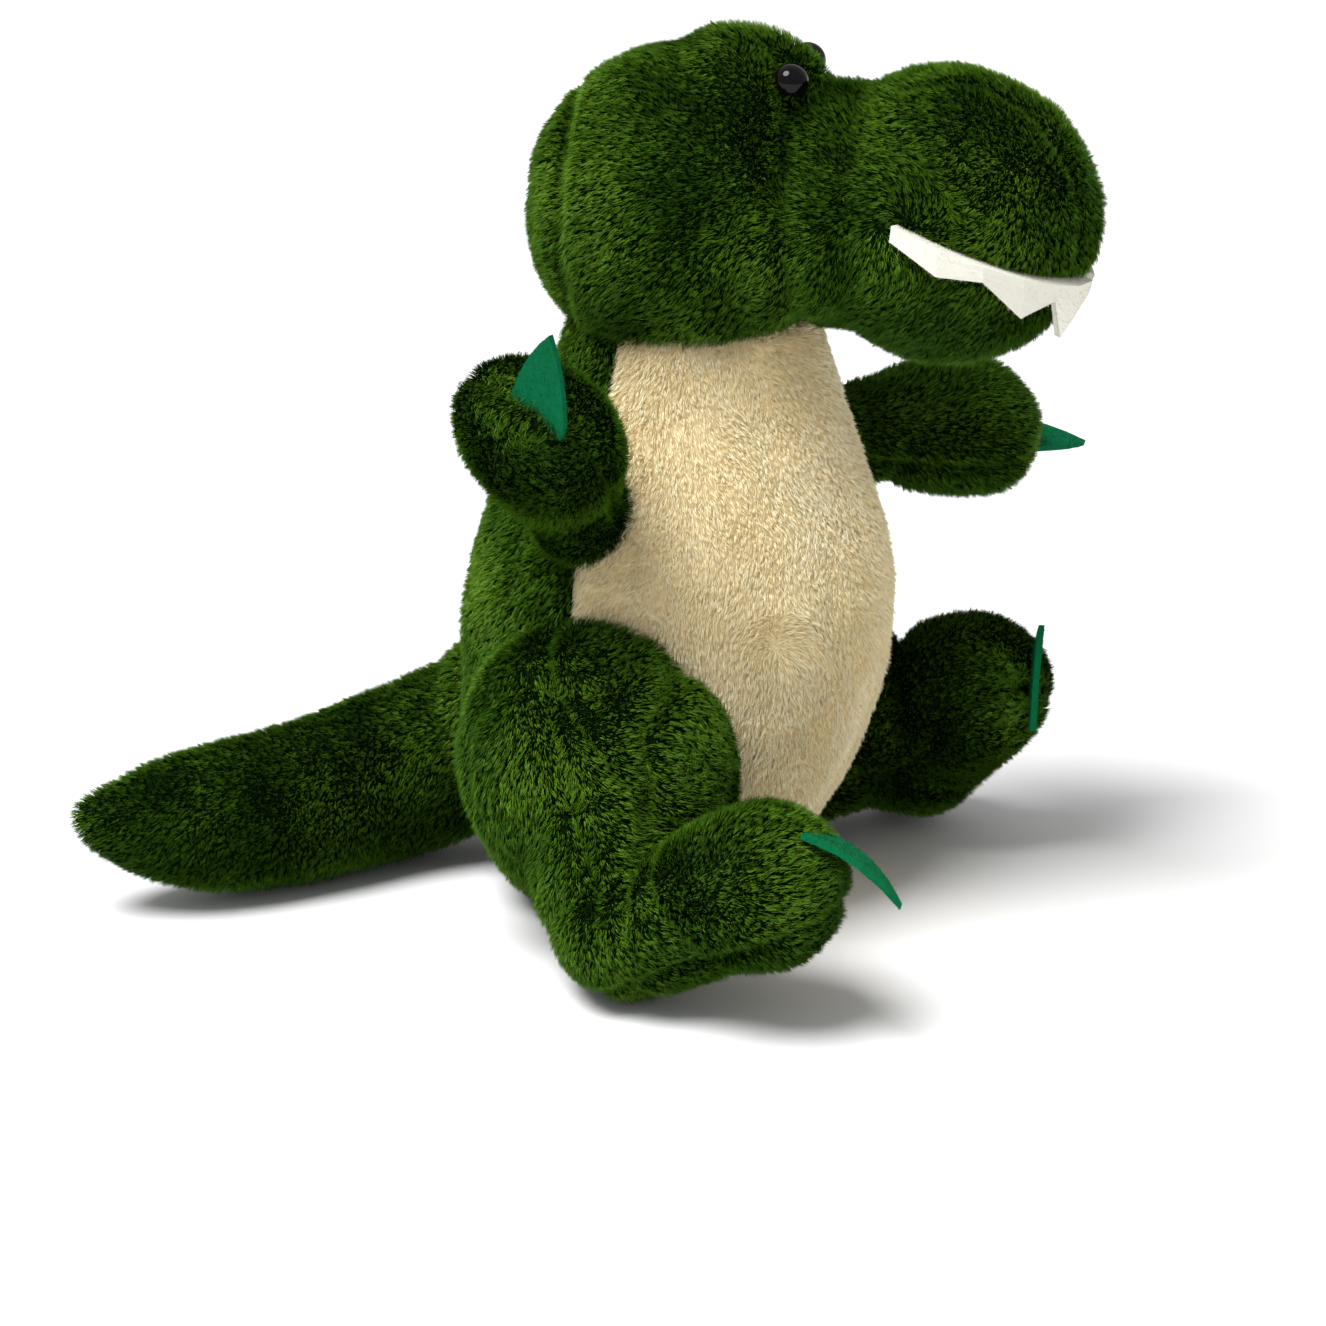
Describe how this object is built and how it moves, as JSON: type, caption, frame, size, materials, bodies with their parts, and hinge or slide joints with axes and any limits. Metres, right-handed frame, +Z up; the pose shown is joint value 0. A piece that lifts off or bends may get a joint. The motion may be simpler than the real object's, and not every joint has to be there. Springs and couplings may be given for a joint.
{
  "type": "stuffed dinosaur",
  "caption": "Sitting plush dinosaur with a large muzzled head, short arms, padded legs, a thick tail, a pale belly panel, felt teeth and claws and bead eyes.",
  "frame": {"origin": "middle of the flat seat under the torso, on the floor", "axes": "+Z up, the toy faces -Y, its right side is -X"},
  "size_m": [0.1582, 0.1697, 0.1705],
  "materials": {
    "green_plush": "short pile",
    "cream_plush": "short pile",
    "polyester_fill": "loose fibre",
    "pellets": "matt",
    "green_felt": "felt",
    "white_felt": "felt",
    "eye_plastic": "gloss",
    "washer_plastic": "matt",
    "thread": "spun thread"
  },
  "bodies": {
    "torso": {"belly_panel": "cream_plush", "back_panel_left": "green_plush", "back_panel_right": "green_plush", "torso_filling": "polyester_fill", "pellet_pouch": "pellets", "hip_seam_right": "thread", "hip_seam_left": "thread"},
    "neck_ring": {"neck_seam": "thread"},
    "head": {"head_side_left": "green_plush", "head_side_right": "green_plush", "head_gusset": "green_plush", "head_back": "green_plush", "jaw_panel": "green_plush", "head_filling": "polyester_fill", "eye_left": "eye_plastic", "eye_right": "eye_plastic", "eye_washer_left": "washer_plastic", "eye_washer_right": "washer_plastic", "teeth_left": "white_felt", "teeth_right": "white_felt"},
    "shoulder_ring_right": {"shoulder_seam_right": "thread"},
    "arm_right": {"arm_right_upper": "green_plush", "arm_right_lower": "green_plush", "arm_right_filling": "polyester_fill", "arm_right_claw": "green_felt"},
    "leg_right": {"leg_right_outer": "green_plush", "leg_right_inner": "green_plush", "leg_right_sole": "green_plush", "leg_right_filling": "polyester_fill", "leg_right_claw": "green_felt"},
    "shoulder_ring_left": {"shoulder_seam_left": "thread"},
    "arm_left": {"arm_left_upper": "green_plush", "arm_left_lower": "green_plush", "arm_left_filling": "polyester_fill", "arm_left_claw": "green_felt"},
    "leg_left": {"leg_left_outer": "green_plush", "leg_left_inner": "green_plush", "leg_left_sole": "green_plush", "leg_left_filling": "polyester_fill", "leg_left_claw": "green_felt"},
    "tail_ring": {"tail_seam": "thread"},
    "tail": {"tail_panel_left": "green_plush", "tail_panel_right": "green_plush", "tail_filling": "polyester_fill"}
  },
  "joints": [
    {"name": "neck_turn", "type": "hinge", "parent": "torso", "child": "neck_ring", "pos_m": [0, -0.001, 0.1355], "axis": [0, 0, 1], "range_deg": [-15, 15], "stiffness_Nm_per_rad": 0.3},
    {"name": "neck_nod", "type": "hinge", "parent": "neck_ring", "child": "head", "pos_m": [0, -0.001, 0.1355], "axis": [0.9397, 0.342, 0], "range_deg": [-10, 5], "stiffness_Nm_per_rad": 0.4},
    {"name": "arm_right_raise", "type": "hinge", "parent": "torso", "child": "shoulder_ring_right", "pos_m": [-0.034, 0.003, 0.085], "axis": [-0.2239, 0.9746, 0], "range_deg": [-40, 10], "stiffness_Nm_per_rad": 0.06},
    {"name": "arm_right_swing", "type": "hinge", "parent": "shoulder_ring_right", "child": "arm_right", "pos_m": [-0.034, 0.003, 0.085], "axis": [0, 0, 1], "range_deg": [-20, 20], "stiffness_Nm_per_rad": 0.06},
    {"name": "arm_left_raise", "type": "hinge", "parent": "torso", "child": "shoulder_ring_left", "pos_m": [0.034, -0.011, 0.085], "axis": [-0.587, -0.8096, 0], "range_deg": [-20, 30], "stiffness_Nm_per_rad": 0.06},
    {"name": "arm_left_swing", "type": "hinge", "parent": "shoulder_ring_left", "child": "arm_left", "pos_m": [0.034, -0.011, 0.085], "axis": [0, 0, 1], "range_deg": [-10, 25], "stiffness_Nm_per_rad": 0.06},
    {"name": "leg_right_lift", "type": "hinge", "parent": "torso", "child": "leg_right", "pos_m": [-0.039, -0.003, 0.038], "axis": [-1, 0, 0], "range_deg": [-10, 25], "stiffness_Nm_per_rad": 0.15},
    {"name": "leg_left_lift", "type": "hinge", "parent": "torso", "child": "leg_left", "pos_m": [0.038, -0.002, 0.028], "axis": [-1, 0, 0], "range_deg": [-10, 25], "stiffness_Nm_per_rad": 0.15},
    {"name": "tail_wag", "type": "hinge", "parent": "torso", "child": "tail_ring", "pos_m": [0.002, 0.04, 0.026], "axis": [0, 0, -1], "range_deg": [-8, 20], "stiffness_Nm_per_rad": 0.12},
    {"name": "tail_lift", "type": "hinge", "parent": "tail_ring", "child": "tail", "pos_m": [0.002, 0.04, 0.026], "axis": [0.5708, 0.8211, 0], "range_deg": [0, 20], "stiffness_Nm_per_rad": 0.12}
  ]
}
